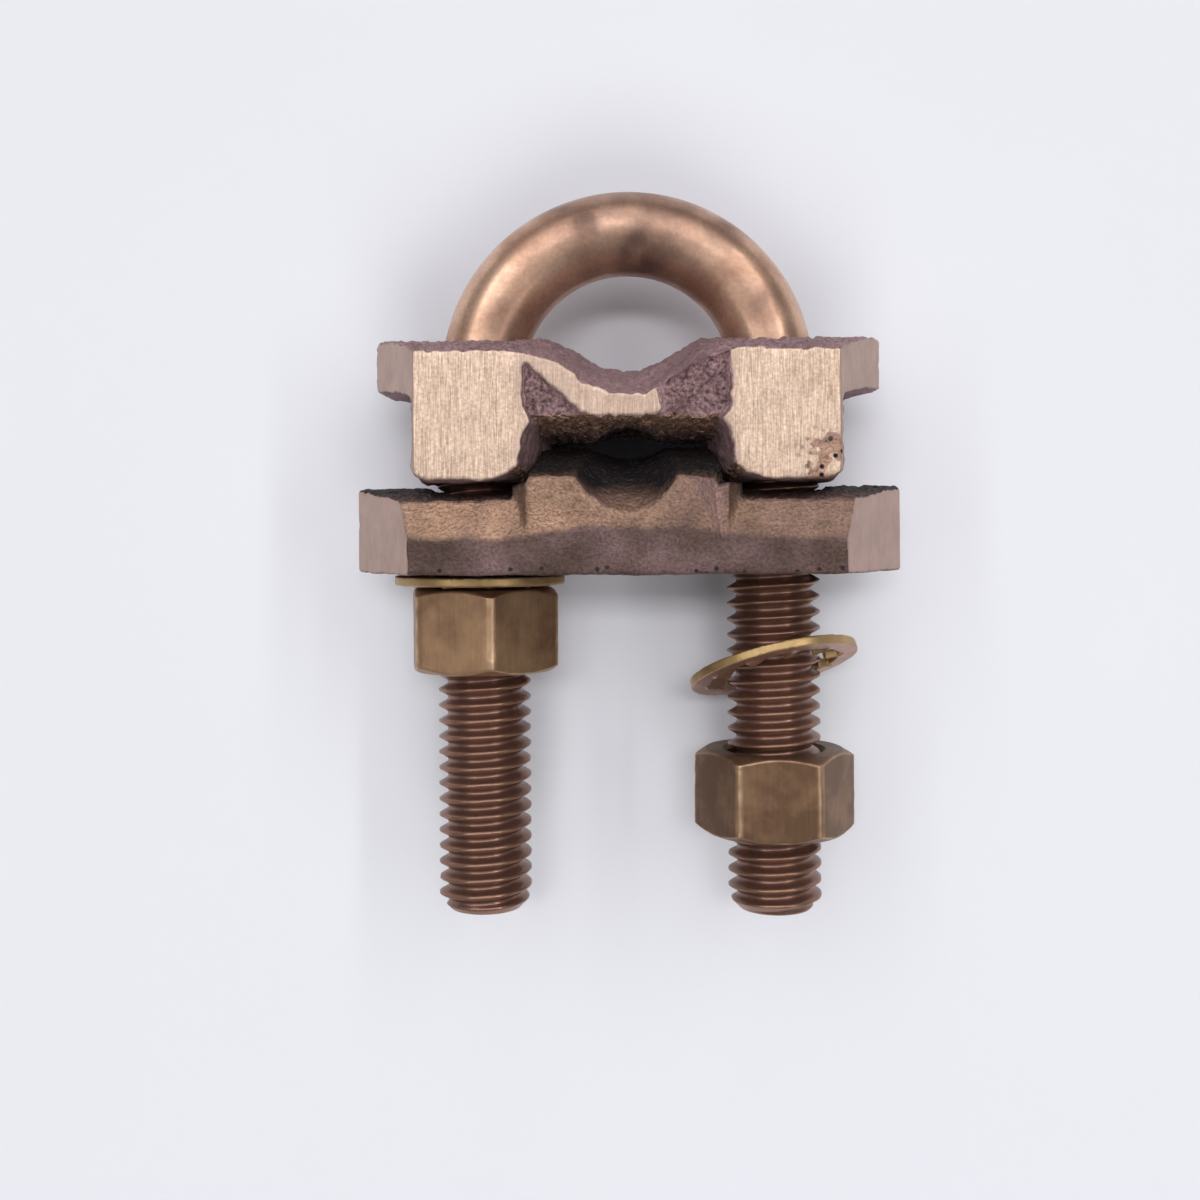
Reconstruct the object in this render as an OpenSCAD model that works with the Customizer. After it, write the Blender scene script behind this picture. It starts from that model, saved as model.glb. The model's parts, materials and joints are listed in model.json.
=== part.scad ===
// Grounding connector: a U-bolt that draws a cast saddle and a cast clamp plate together.
// It lies on the back faces of its castings. X runs across the two legs, Y along the legs
// towards the bend, and Z up from the surface that it lies on. Lengths are in millimetres.

/* [U-bolt] */
// Diameter of the rod, at the pitch line of its rolled thread
rod_d = 8.45; // [8:0.05:9]
// Distance between the axes of the two legs
leg_pitch = 29.5; // [28.5:0.25:32]
// Straight length of each leg, from the start of the bend to its end
leg_length = 53.8; // [48:0.2:70]
// Chamfer on the end of each leg
leg_chamfer = 0.8; // [0.2:0.1:1.5]

/* [Castings] */
// Depth of both castings, from front face to back face
cast_depth = 25.4; // [24:0.2:28]
// Diameter of the bolt holes over that of the rod
hole_clearance = 2.15; // [1.9:0.05:2.4]
// Gap between the saddle and the clamp plate at rest
cast_gap = 0.35; // [0.3:0.05:1.5]
// Gap between the centre block of the plate and the bosses beside it
guide_gap = 0.35; // [0.3:0.05:0.8]

/* [Saddle] */
// Height of the saddle's crest above the start of the bend
saddle_rise = 3.6; // [2:0.1:4]
// Height from the underside of the bosses to the crest
saddle_height = 14.35; // [13.5:0.05:17]
// Radius of the crown that the top falls on, from the crest to front and back
crown_r = 36; // [28:0.5:50]
// Width across the ears at mid-depth
ear_span = 50.3; // [49:0.1:58]
// Thickness of the ears at mid-depth
ear_thickness = 5.05; // [4:0.05:7]
// Radius that the underside of the ears is arched on, from front to back
ear_arch_r = 50; // [35:1:90]
// Width of the flat at the tip of each ear
ear_tip = 4; // [1:0.5:8]
// Width of each boss at its front and back faces
boss_face_w = 10.2; // [9.4:0.1:11]
// Width of each boss at mid-depth, where it is bored
boss_mid_w = 13.5; // [13:0.1:14]
// Corner radius of the bosses
boss_corner = 1.5; // [0.6:0.1:2.5]

/* [Rod seat] */
// Depth of the rod seat below the crest
seat_depth = 3.15; // [2.5:0.05:3.8]
// Radius at the bottom of the rod seat
seat_r = 6.5; // [5:0.1:8]
// Radius that the seat turns down on, towards front and back
seat_bell_r = 28.5; // [24:0.5:36]
// Slope of the flanks of the rod seat
seat_slope = 28.5; // [25:0.5:34]
// Rounding where the flanks meet the crest
seat_edge_r = 2.5; // [1:0.1:4]
// Slope that is left at the end of that rounding
seat_rim_slope = 12; // [8:0.5:20]
// Thickness of the lip under the seat, at the front and back faces
lip_thickness = 1.75; // [1.2:0.05:2.2]
// Half width of the level part of the lip
lip_half_w = 4; // [3:0.1:5]
// Depth of the hollows between the lip and the bosses
hollow_depth = 0.8; // [0.5:0.1:2]

/* [Cable arch] */
// Height of the web at mid-depth, from its underside to the crest
web_height = 10.25; // [9.4:0.05:11]
// Radius of the arch that lies over the cable
arch_r = 5; // [4:0.1:6.5]
// Height of the arch above the underside of the web
arch_rise = 1.7; // [1:0.1:2.2]

/* [Clamp plate] */
// Length of the plate at mid-depth
plate_length = 54.5; // [53:0.1:62]
// Length of the plate at its front and back faces
plate_face_length = 41; // [38:0.1:44]
// Width of the flat at each end of the plate
plate_tip = 3; // [1:0.5:8]
// Thickness of the plate's arms at mid-depth
plate_thickness = 8.5; // [7:0.1:11]
// Fall of the top of the arms, from mid-depth to front and back
arm_fall = 1.5; // [0.8:0.1:2.2]
// Height of the upright lower part of the front and back faces
face_height = 3.5; // [2.5:0.1:4.5]
// Set-back of the sloping upper part of the front and back faces
face_setback = 1.5; // [0.5:0.1:2.2]

/* [Centre block] */
// Height of the centre block above the arms at mid-depth
block_rise = 3.9; // [3:0.05:4.2]
// Radius of the crown of the centre block
block_crown_r = 26; // [23:0.5:40]
// Width that the flared foot of the block adds on each side
block_flare = 1.6; // [0.5:0.1:2]
// Depth of the flared foot behind the front and back faces
block_flare_depth = 2.1; // [1:0.1:3]
// Depth of the cable groove in the crest of the block
groove_depth = 1.2; // [0.6:0.05:1.8]
// Radius of the cable groove across the block
groove_r = 6; // [5:0.1:7]
// Radius that the groove floor turns down on, towards front and back
groove_bell_r = 17.4; // [16.5:0.1:22]

/* [Lock washers] */
// Outside diameter of a lock washer
washer_d = 17.3; // [16.5:0.1:19]
// Thickness of the rim
washer_t = 0.9; // [0.7:0.05:1.2]
// Radial width of the rim
rim_w = 2; // [1.5:0.1:2.5]
// Number of inner teeth
tooth_count = 10; // [8:1:11]
// Gap between the tooth tips and the rod
tooth_gap = 0.975; // [0.95:0.025:1.2]
// Width of a tooth
tooth_w = 1.9; // [1.4:0.1:2]
// Twist of each tooth out of the plane of the rim
tooth_twist = 18; // [10:1:20]
// Gap on each side of the left washer
washer_gap = 0.4; // [0.35:0.05:1]
// Distance that the left washer hangs off its leg's axis, outwards
left_washer_shift = 0.4; // [0:0.05:0.5]
// Distance of the right washer's centre below the plate
right_washer_drop = 9.8; // [9:0.1:12]
// Lean of the right washer towards the bend on its upper side
right_washer_lean = 18.5; // [0:0.5:19]
// Lean of the right washer towards the bend on its outer side
right_washer_roll = 13; // [0:0.5:13]

/* [Nuts] */
// Width across flats
nut_flats = 14.29; // [13.5:0.05:15]
// Height of a nut
nut_height = 8.33; // [6:0.05:9.5]
// Radial running clearance of the nut's bore on the rod
nut_clearance = 0.05; // [0.02:0.01:0.09]
// Angle of the chamfer that trims the corners
nut_chamfer = 30; // [20:1:40]
// Distance of the right nut's top face below the plate
right_nut_drop = 18.1; // [17:0.1:20]
// Turn of the left nut on its thread
left_nut_turn = 41; // [0:1:60]
// Turn of the right nut on its thread
right_nut_turn = 59; // [0:1:60]

/* [Hidden] */
$fn = 96;
cut = 1;
leg_x = leg_pitch / 2;
mid_z = cast_depth / 2;
half_depth = cast_depth / 2;
hole_d = rod_d + hole_clearance;
// The bend stands so that the overall length is centred on the origin
bend_y = (leg_length - leg_x - rod_d / 2) / 2;
crest_y = bend_y + saddle_rise;
plate_y = crest_y - saddle_height - cast_gap;
plate_under_y = plate_y - plate_thickness;
crown_fall = crown_r - sqrt(crown_r * crown_r - half_depth * half_depth);
ear_fall = ear_arch_r - sqrt(ear_arch_r * ear_arch_r - half_depth * half_depth);
seat_bottom_r = seat_bell_r - seat_depth;
// Height of the seat's bottom at the front face, from the crest
seat_face_y = sqrt(seat_bottom_r * seat_bottom_r - half_depth * half_depth) - seat_bell_r;
lip_y = seat_face_y - lip_thickness;
boss_in_face = leg_x - boss_face_w / 2;
boss_in_mid = leg_x - boss_mid_w / 2;
tooth_tip_r = rod_d / 2 + tooth_gap;
washer_in_r = washer_d / 2 - rim_w;
left_washer_y = plate_under_y - washer_gap - washer_t / 2;
left_nut_y = left_washer_y - washer_t / 2 - washer_gap - nut_height;
right_washer_y = plate_under_y - right_washer_drop;
right_nut_y = plate_under_y - right_nut_drop - nut_height;
bronze = "#b98a63";
rough_bronze = "#8a6a5e";
brass = "#b79a55";

// Points along an arc about a centre, from one angle to another
function arc(centre, r, from, to, steps = 8) =
    [for (i = [0:steps])
        let (a = from + (to - from) * i / steps)
        centre + r * [cos(a), sin(a)]];

// A closed outline from its right half, which runs from bottom to top
function both_sides(half) =
    concat(half, [for (i = [len(half) - 1:-1:0]) [-half[i][0], half[i][1]]]);

// The right half of a plan that narrows from a flat tip at mid-depth to the front and back faces
function tapered_half(face_half_w, tip_half_w, tip) =
    [[face_half_w, -half_depth], [tip_half_w, -tip / 2],
     [tip_half_w, tip / 2], [face_half_w, half_depth]];

// A shape drawn in X and Z, raised along Y from one height to another
module along_y(from, to) {
    translate([0, to, 0]) rotate([90, 0, 0]) linear_extrude(to - from) children();
}

// A shape drawn in Y and Z, drawn out along X to both sides of the middle
module across_x(width) {
    rotate([90, 0, 90]) linear_extrude(width, center = true) children();
}

// A profile of X and radius, turned about an axis along X that lies below the top by its radius
module drum(r) {
    translate([0, -r, 0]) rotate([0, 90, 0]) rotate_extrude() rotate(-90) mirror([1, 0]) children();
}

// One child on each leg's axis
module on_legs() {
    for (side = [-1, 1]) translate([side * leg_x, 0, 0]) children();
}

// The two bolt holes, from one height to another
module bolt_holes(from, to) {
    on_legs() translate([0, to, 0]) rotate([90, 0, 0]) cylinder(d = hole_d, h = to - from);
}

module leg() {
    rotate([90, 0, 0]) {
        cylinder(d = rod_d, h = leg_length - leg_chamfer);
        translate([0, 0, leg_length - leg_chamfer])
            cylinder(d1 = rod_d, d2 = rod_d - 2 * leg_chamfer, h = leg_chamfer);
    }
}

module u_bolt() {
    color(bronze) translate([0, bend_y, mid_z]) {
        rotate_extrude(angle = 180) translate([leg_x, 0]) circle(d = rod_d);
        on_legs() leg();
    }
}

// The right half of the outline under the rod seat, from the saddle's side in to the seat's bottom
function seat_half() =
    let (corner_x = seat_r * sin(seat_slope)
             + (seat_depth - seat_r * (1 - cos(seat_slope))) / tan(seat_slope),
         edge_x = corner_x + seat_edge_r * tan(seat_slope / 2),
         top = seat_bell_r + 2 * cut,
         bottom = arc([0, seat_bottom_r + seat_r], seat_r, seat_slope - 90, -90),
         edge = arc([edge_x, seat_bell_r - seat_edge_r], seat_edge_r, 90 + seat_rim_slope, 90 + seat_slope),
         rim_x = edge[0][0] + (top - edge[0][1]) / tan(seat_rim_slope))
    concat([[ear_span, 0], [ear_span, top], [rim_x, top]], edge, bottom);

// The rounded crown over the whole saddle, with the rod seat turned into it
module saddle_crown() {
    intersection() {
        drum(crown_r)
            translate([-ear_span, 0]) square([2 * ear_span, crown_r]);
        drum(seat_bell_r) polygon(both_sides(seat_half()));
    }
}

// The flange that ends in the two ears, tapered towards front and back and arched below
module ears() {
    difference() {
        along_y(-ear_thickness - ear_fall, cut)
            polygon(both_sides(tapered_half(leg_x + boss_face_w / 2, ear_span / 2, ear_tip)));
        translate([0, -ear_thickness - ear_arch_r, 0]) rotate([0, 90, 0])
            cylinder(r = ear_arch_r, h = 2 * ear_span, center = true);
    }
}

// The web between the bosses: its underside rises from mid-depth to the lip at front and back
module web() {
    across_x(leg_pitch - boss_face_w)
        polygon([[cut, -half_depth], [lip_y, -half_depth], [-web_height, 0],
                 [lip_y, half_depth], [cut, half_depth]]);
}

// The four shallow hollows under the slopes of the lip
module lip_hollows() {
    top_y = -crown_fall - lip_thickness / 2;
    for (face = [-1, 1], side = [-1, 1])
        translate([0, 0, face * half_depth]) scale([side, 1, 1])
            linear_extrude(2 * hollow_depth, center = true)
                polygon([[lip_half_w, lip_y], [boss_in_face, top_y], [boss_in_face, lip_y - cut],
                         [lip_half_w, lip_y - cut]]);
}

// One bored boss: widest at mid-depth, with rounded edges, faced flat at front and back
module boss() {
    half_w = [boss_face_w / 2, boss_mid_w / 2, boss_face_w / 2];
    intersection() {
        hull()
            for (i = [0:2], side = [-1, 1], y = [boss_corner - saddle_height, 0])
                translate([side * (half_w[i] - boss_corner), y, (i - 1) * half_depth])
                    cylinder(r = boss_corner, h = 0.02, center = true, $fn = 32);
        cube([2 * boss_mid_w, 3 * saddle_height, cast_depth], center = true);
    }
}

module saddle() {
    color(rough_bronze) translate([0, crest_y, mid_z])
        difference() {
            intersection() {
                saddle_crown();
                union() {
                    difference() {
                        union() {
                            ears();
                            web();
                        }
                        lip_hollows();
                    }
                    on_legs() boss();
                }
            }
            bolt_holes(-saddle_height - cut, cut);
            translate([0, arch_rise - web_height - arch_r, 0])
                cylinder(r = arch_r, h = cast_depth + cut, center = true);
        }
}

// The arms of the plate: faced ends, a sloping shoulder and a top that falls to front and back
module plate_arms() {
    shoulder_z = half_depth - face_setback;
    intersection() {
        across_x(plate_length)
            polygon([[0, 0], [-arm_fall, shoulder_z],
                     [face_height - plate_thickness, half_depth], [-plate_thickness, half_depth],
                     [-plate_thickness, -half_depth], [face_height - plate_thickness, -half_depth],
                     [-arm_fall, -shoulder_z]]);
        along_y(-plate_thickness, cut)
            polygon(both_sides(tapered_half(plate_face_length / 2, plate_length / 2, plate_tip)));
    }
}

// The centre block: waisted at mid-depth to stand between the bosses, flared at its foot
module centre_block() {
    face_w = boss_in_face - guide_gap;
    mid_w = boss_in_mid - guide_gap;
    foot_z = half_depth - block_flare_depth;
    intersection() {
        translate([0, block_rise, 0]) drum(block_crown_r)
            translate([-plate_length / 2, 0]) square([plate_length, block_crown_r]);
        union() {
            along_y(-plate_thickness, block_rise + cut)
                polygon(both_sides([[face_w, -half_depth], [mid_w, 0], [face_w, half_depth]]));
            along_y(-plate_thickness, 0)
                polygon(both_sides([[face_w, -half_depth], [face_w + block_flare, -foot_z],
                                    [face_w + block_flare, foot_z], [face_w, half_depth]]));
        }
    }
}

// The cable groove: a ring that turns down towards front and back like a bell mouth
module cable_groove() {
    translate([0, block_rise - groove_depth, 0]) drum(groove_bell_r)
        translate([0, groove_bell_r + groove_r]) circle(groove_r);
}

module clamp_plate() {
    color(rough_bronze) translate([0, plate_y, mid_z])
        difference() {
            union() {
                plate_arms();
                centre_block();
            }
            cable_groove();
            bolt_holes(-plate_thickness - cut, block_rise + cut);
        }
}

// A lock washer about the Y axis, with a ring of twisted inner teeth
module lock_washer() {
    tooth_l = washer_in_r - tooth_tip_r + rim_w / 4;
    rotate([90, 0, 0]) {
        difference() {
            cylinder(d = washer_d, h = washer_t, center = true);
            cylinder(r = washer_in_r, h = washer_t + cut, center = true);
        }
        for (i = [0:tooth_count - 1])
            rotate(i * 360 / tooth_count)
                translate([tooth_tip_r + tooth_l / 2, 0, 0]) rotate([tooth_twist, 0, 0])
                    cube([tooth_l, tooth_w, washer_t], center = true);
    }
}

module left_lock_washer() {
    color(brass) translate([-leg_x - left_washer_shift, left_washer_y, mid_z]) lock_washer();
}

module right_lock_washer() {
    color(brass) translate([leg_x, right_washer_y, mid_z])
        rotate([-right_washer_lean, 0, right_washer_roll]) lock_washer();
}

// A hex nut standing on Y = 0, its corners trimmed by a cone at both ends
module hex_nut() {
    corner_r = nut_flats / 2 / cos(30);
    trim = (corner_r - nut_flats / 2) * tan(nut_chamfer);
    rotate([-90, 0, 0])
        difference() {
            intersection() {
                cylinder(r = corner_r, h = nut_height, $fn = 6);
                rotate_extrude()
                    polygon([[0, 0], [nut_flats / 2, 0], [corner_r, trim],
                             [corner_r, nut_height - trim], [nut_flats / 2, nut_height],
                             [0, nut_height]]);
            }
            translate([0, 0, -cut])
                cylinder(r = rod_d / 2 + nut_clearance, h = nut_height + 2 * cut);
        }
}

module left_nut() {
    color(brass) translate([-leg_x, left_nut_y, mid_z]) rotate([0, left_nut_turn, 0]) hex_nut();
}

module right_nut() {
    color(brass) translate([leg_x, right_nut_y, mid_z]) rotate([0, right_nut_turn, 0]) hex_nut();
}

u_bolt();
saddle();
clamp_plate();
left_lock_washer();
right_lock_washer();
left_nut();
right_nut();
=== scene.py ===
"""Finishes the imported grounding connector: rolled threads, sand-cast skin, faced metal, worn nuts.

Sizes and places come from the frame. Properties are in metres. The mesh code works on arrays of points
in millimetres, and a piece is turned into metres when it is made.
"""

import json
import math

import bmesh
import bpy
import numpy as np
from mathutils import Matrix, Vector, noise


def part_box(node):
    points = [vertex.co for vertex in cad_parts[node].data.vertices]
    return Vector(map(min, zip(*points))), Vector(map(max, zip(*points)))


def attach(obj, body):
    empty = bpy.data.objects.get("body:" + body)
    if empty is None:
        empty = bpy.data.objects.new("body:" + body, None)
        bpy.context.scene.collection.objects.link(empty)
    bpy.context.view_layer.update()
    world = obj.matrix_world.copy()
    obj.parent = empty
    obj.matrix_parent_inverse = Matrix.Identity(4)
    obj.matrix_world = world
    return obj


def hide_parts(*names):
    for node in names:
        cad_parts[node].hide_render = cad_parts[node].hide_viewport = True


bl_info = {
    "name": "Grounding connector",
    "version": (1, 0, 0),
    "blender": (4, 5, 0),
    "location": "View3D > Sidebar > Connector",
    "description": "Finishes the surfaces of a bronze U-bolt grounding connector",
    "category": "Add Mesh",
}

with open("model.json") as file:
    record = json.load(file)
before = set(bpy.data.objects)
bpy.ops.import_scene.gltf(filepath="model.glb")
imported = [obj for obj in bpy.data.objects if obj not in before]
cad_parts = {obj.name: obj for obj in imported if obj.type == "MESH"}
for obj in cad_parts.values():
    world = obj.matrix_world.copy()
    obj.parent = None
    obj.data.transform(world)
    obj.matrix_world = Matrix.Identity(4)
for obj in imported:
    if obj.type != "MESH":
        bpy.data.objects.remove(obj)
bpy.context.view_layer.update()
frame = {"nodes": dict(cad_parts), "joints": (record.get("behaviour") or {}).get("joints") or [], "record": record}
MM = 0.001
RECORD = frame["record"]
BODY_OF = {node: body for body, nodes in RECORD["behaviour"]["bodies"].items() for node in nodes}
JOINTS = {joint["name"]: joint for joint in frame["joints"]}


def box_mm(node):
    """Lowest and highest corner of a CAD node, in millimetres."""
    low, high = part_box(node)
    return np.array(low) / MM, np.array(high) / MM


# The legs' axes and the U-bolt's bend, from the nuts' hinges and the U-bolt's box
LEFT_AXIS = np.array(JOINTS["left_nut_turn"]["pos_m"]) / MM
RIGHT_AXIS = np.array(JOINTS["right_nut_turn"]["pos_m"]) / MM
BOLT_LOW, BOLT_HIGH = box_mm("u_bolt")
BEND_R = RIGHT_AXIS[0]
ROD_R = BOLT_HIGH[0] - BEND_R
BEND_Y = BOLT_HIGH[1] - BEND_R - ROD_R
MID_Z = RIGHT_AXIS[2]
SADDLE_LOW, SADDLE_HIGH = box_mm("saddle")
PLATE_LOW, PLATE_HIGH = box_mm("clamp_plate")
FRONT_Z, BACK_Z = SADDLE_HIGH[2], SADDLE_LOW[2]
HALF_DEPTH = FRONT_Z - MID_Z

# Points closer than this, in metres, are one
WELD = 0.0005 * MM
# Smoothing without shrinking: each turn pulls the points in and pushes them out again
PULL_IN, PUSH_OUT = 0.6, -0.62
# Where most values of a noise texture lie
NOISE_SPAN = (0.3, 0.7)

# Faces round the rod and its legs, and round a nut
ROD_COLUMNS = 72
NUT_COLUMNS = 240
# The thread's crest as a share of the pitch. In millimetres: how far its root is rounded out, how deep
# its crests are nicked, and the length over which it runs out
CREST_SHARE = 0.125
ROOT_ROUND = 0.07
NICK_DEPTH = 0.07
RUN_OUT = 2.5
# Share of a turn at which each leg's thread starts
LEFT_PHASE, RIGHT_PHASE = 0.15, 0.6
# Rings of a leg's end as shares of its radius, and how far each is sunk into the leg
TIP_RINGS = (0.0, 0.3, 0.6, 0.85, 0.97, 1.0)
TIP_SUNK = (0.16, 0.15, 0.1, 0.05, 0.01, 0.0)
# Heat stains on the bend: centre and reach in millimetres, and share of oxide
HEAT_STAINS = (
    ((0.5, 32.0, 16.5), 11.5, 0.58), ((1.6, 29.8, 15.8), 5.0, 0.9), ((-3.8, 32.3, 16.8), 3.0, 0.85),
    ((-6.5, 35.0, 15.5), 4.0, 0.6), ((9.5, 31.5, 16.0), 3.6, 0.75), ((13.5, 24.5, 16.0), 3.0, 0.55),
    ((-12.0, 23.0, 16.5), 3.2, 0.5), ((15.5, 20.5, 15.5), 3.0, 0.5),
)

# Cut depth that marks skin which no belt has reached
UNCUT = -0.3
# The saddle, in millimetres: half a boss's width, the underside of the web, how far its right lip fell
# short, how far edges stray between the bosses, and half the width left at the ears' tips
BOSS_HALF = 5.1
WEB_LOW = 12.4
LIP_DROP = 0.55
EDGE_STRAY = 0.22
EAR_TIP_HALF = 2.0
# The plate, in millimetres: where its end facets start, half the width left at its ends, the height of
# the line down to which it lost its sand, the rise of that line at the block, and how far the skin may
# stand past its ends and its front
END_FACET_X = 20.5
END_TIP_HALF = 1.5
CLEAN_LINE = 1.36
CLEAN_RISE = 1.1
END_PROUD, FRONT_PROUD = 0.15, 0.1
# The facet on the right front corner of the plate's block: a point on it and its normal
BLOCK_FACET_AT = np.array([6.1, 6.9, FRONT_Z])
BLOCK_FACET_OUT = np.array([0.544, 0.198, 0.816])

# A nut's countersink in millimetres, its chamfer's radius as a share of its width across flats, and the
# width over which chamfer and flat are blended
COUNTERSINK = 0.45
CHAMFER_SHARE = 0.485
CHAMFER_BLEND = 0.12
# Rings of a nut's end face, as shares of the way to its countersink, and down its bore, in millimetres
END_RINGS = (0.01, 0.1, 0.35, 0.65, 0.95, 1.0)
BORE_RINGS = (0.02, 0.2, 0.43, 0.47, 0.6)

# The photograph's camera, from the legs' thread pitch and the castings' parallax
CAMERA_AT = (1.25 * MM, 2.0 * MM, 149.7 * MM)
CAMERA_AIM = (-2.85 * MM, 2.0 * MM, 12.7 * MM)
CAMERA_UP = (0.006, 1.0, 0.0)
CAMERA_LENS = 40.2
CAMERA_SENSOR = 36.0
CAMERA_SHIFT_Y = -0.0585

# Half the width of the table, and the point that the lamps face, in metres
TABLE_HALF = 2.0
LAMP_AIM = (0.0, 0.0, 0.012)
# Three ceiling tubes run along the connector and draw the streaks on its metal. A panel over the bend
# throws the shadow, and a window on the near side lights what faces away from the bend: these two are
# kept out of the reflections. Place in metres, power in watts, width and length in metres
LAMPS = (
    ("left_tube", (-0.90, 0.4, 1.2), 3.5, (0.1, 2.0)),
    ("middle_tube", (-0.03, 1.25, 1.2), 1.4, (0.1, 2.0)),
    ("right_tube", (0.92, 0.4, 1.2), 6.6, (0.1, 2.0)),
    ("ceiling_panel", (0.0, 0.22, 1.28), 5.7, (0.6, 0.16)),
    ("near_window", (0.1, -0.75, 1.0), 6.2, (0.8, 0.6)),
)
# The room's faintly blue light, where it glows most, the span of the cosine over which the glow rises,
# and its strengths there
ROOM_LIGHT = (0.96, 0.97, 1.0, 1.0)
GLOW_TOWARDS = (-0.08, 0.4, 0.91)
GLOW_SPAN, GLOW_STRENGTHS = (0.66, 1.0), (0.24, 2.2)
# The span of the height over which the shade straight above sets in, and the share of light it leaves
SHADE_SPAN, SHADE_SHARE = (0.95, 0.99), 0.35
# The share of the glow that matt surfaces take, and the strength of the wall that the camera sees
MATT_SHARE = 0.32
WALL_STRENGTH = 0.8


def linear(code):
    """Linear red, green and blue of an sRGB hex colour."""
    parts = [int(code[i:i + 2], 16) / 255 for i in (1, 3, 5)]
    return [c / 12.92 if c <= 0.04045 else ((c + 0.055) / 1.055) ** 2.4 for c in parts]


def length(name, description, mm):
    """A length property with its default in millimetres."""
    return bpy.props.FloatProperty(name=name, description=description, default=mm * MM, min=0.0,
                                   precision=5, unit="LENGTH")


def colour(name, description, code):
    """A colour property with its default as an sRGB hex value."""
    return bpy.props.FloatVectorProperty(name=name, description=description, default=linear(code),
                                         size=3, min=0.0, max=1.0, subtype="COLOR")


class ConnectorSizes(bpy.types.PropertyGroup):
    """Sizes of what the CAD solids leave plain."""

    thread_pitch: length("Thread pitch", "Rise of the rolled thread in one turn", 1.5875)
    thread_crest_d: length("Thread crest", "Diameter over the thread's crests", 9.4)
    thread_root_d: length("Thread root", "Diameter at the thread's roots", 7.7)
    thread_start: length("Thread start", "Height of the thread's start above the middle", 8.6)
    leg_tip_d: length("Leg tip", "Diameter of the chamfered end of each leg", 7.2)
    cast_mesh: length("Casting mesh", "Size of the faces that carry the sand-cast skin", 0.26)
    swell_height: length("Swell height", "Height of the casting's slow unevenness", 0.16)
    swell_size: length("Swell size", "Width of the casting's slow unevenness", 3.6)
    sand_height: length("Sand height", "Height of the marks of the sand mould", 0.13)
    sand_size: length("Sand size", "Width of the marks of the sand mould", 0.75)
    facing_cut: length("Facing cut", "Depth that facing takes off the cast skin", 0.24)
    nut_edge: length("Nut edge", "Rounding of the nuts' edges", 0.25)
    nut_bore_d: length("Nut bore", "Diameter of the nuts at their thread's roots", 9.56)
    washer_mesh: length("Washer mesh", "Size of the faces of the lock washers", 0.13)


class ConnectorColours(bpy.types.PropertyGroup):
    """Colours of the finishes."""

    rod_light: colour("Rod", "Clean drawn bronze of the bend", "#D6AF95")
    rod_dark: colour("Rod, dull", "Handled bronze of the bend", "#AD8670")
    rod_tint: colour("Rod, heat tint", "Oxide where the rod was heated for bending", "#745A50")
    thread_crest: colour("Thread crest", "Bronze burnished by rolling and by the nuts", "#946F5A")
    thread_root: colour("Thread flank", "Brown oxide in the thread", "#866659")
    skin_purple: colour("Cast skin", "Purple-brown skin that the sand leaves", "#9C7D7F")
    # This brown is also laid as painted shade in the gap under the saddle and under the web
    skin_brown: colour("Cast skin, burnt", "Burnt brown skin in the hollows", "#4D3A33")
    # Painted shade: this near-black is laid in the shadowed gap between the castings and in the gas holes
    painted_shade_black: colour("Cast skin, sooty", "Black mould wash left between the castings", "#1D1718")
    # Partly painted light: besides skin that lost its sand, this golden tone stands in for light on faces turned
    # up to the lamps and on the web's underside
    skin_gold: colour("Cast skin, bright", "Golden skin where the sand came off clean", "#A8866F")
    faced_light: colour("Faced bronze", "Fresh bronze on the faced ends", "#ECD3BD")
    faced_dark: colour("Faced bronze, dull", "Fresh bronze between the belt's scratches", "#AE907A")
    ground_dull: colour("Ground facet", "Dull pink bronze on the ground corners", "#BA9E91")
    nut_light: colour("Nut", "Drawn bar of the nuts", "#A07F61")
    nut_dark: colour("Nut, dull", "Brown oxide on the nuts", "#705541")
    worn_edge: colour("Worn edge", "Bronze rubbed bare on edges", "#D0AE8C")
    washer_rim: colour("Washer rim", "Sheared edge of the lock washers", "#B7986A")
    washer_face: colour("Washer face", "Pinkish face of the lock washers", "#BE9884")
    floor: colour("Floor", "Pale table under the connector", "#DCDCE2")


def smooth_step(low, high, values):
    """Values eased from 0 at low to 1 at high."""
    t = np.clip((values - low) / (high - low), 0.0, 1.0)
    return t * t * (3.0 - 2.0 * t)


def waviness(points, size, seed=0.0, octaves=1):
    """Perlin noise of about -1 to 1 at each point, with waves of the given size in millimetres."""
    shift = Vector((seed, 1.7 * seed, 2.3 * seed))
    places = (Vector(p) + shift for p in (points / size).tolist())
    if octaves == 1:
        values = (noise.noise(p) for p in places)
    else:
        values = (noise.fractal(p, 0.9, 2.0, octaves) for p in places)
    return np.fromiter(values, float, len(points))


def round_angles(columns):
    """Even steps once round."""
    return 2 * np.pi * np.arange(columns) / columns


def ringed(axis_x, axis_z, r, y, angle):
    """Points at the given radii, heights and angles about an axis along Y."""
    return np.stack([axis_x + r * np.sin(angle), y, axis_z + r * np.cos(angle)], axis=-1)


def wrapped_faces(rows, columns, seam_shift=0):
    """Quads of a grid whose columns go once round. A helix meets itself some rows further on."""
    index = np.arange(rows * columns).reshape(rows, columns)
    lower = index[:rows - 1 - seam_shift]
    upper = index[1:rows - seam_shift]
    lower_next = np.roll(index, -1, axis=1)
    lower_next[:rows - seam_shift, -1] = index[seam_shift:, 0]
    upper_next = lower_next[1:rows - seam_shift]
    lower_next = lower_next[:rows - 1 - seam_shift]
    return np.stack([lower, lower_next, upper_next, upper], axis=-1).reshape(-1, 4)


def quad_edges(faces):
    """Each edge of a quad mesh once."""
    pairs = np.concatenate([faces[:, [0, 1]], faces[:, [1, 2]], faces[:, [2, 3]], faces[:, [3, 0]]])
    return np.unique(np.sort(pairs, axis=1), axis=0)


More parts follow.
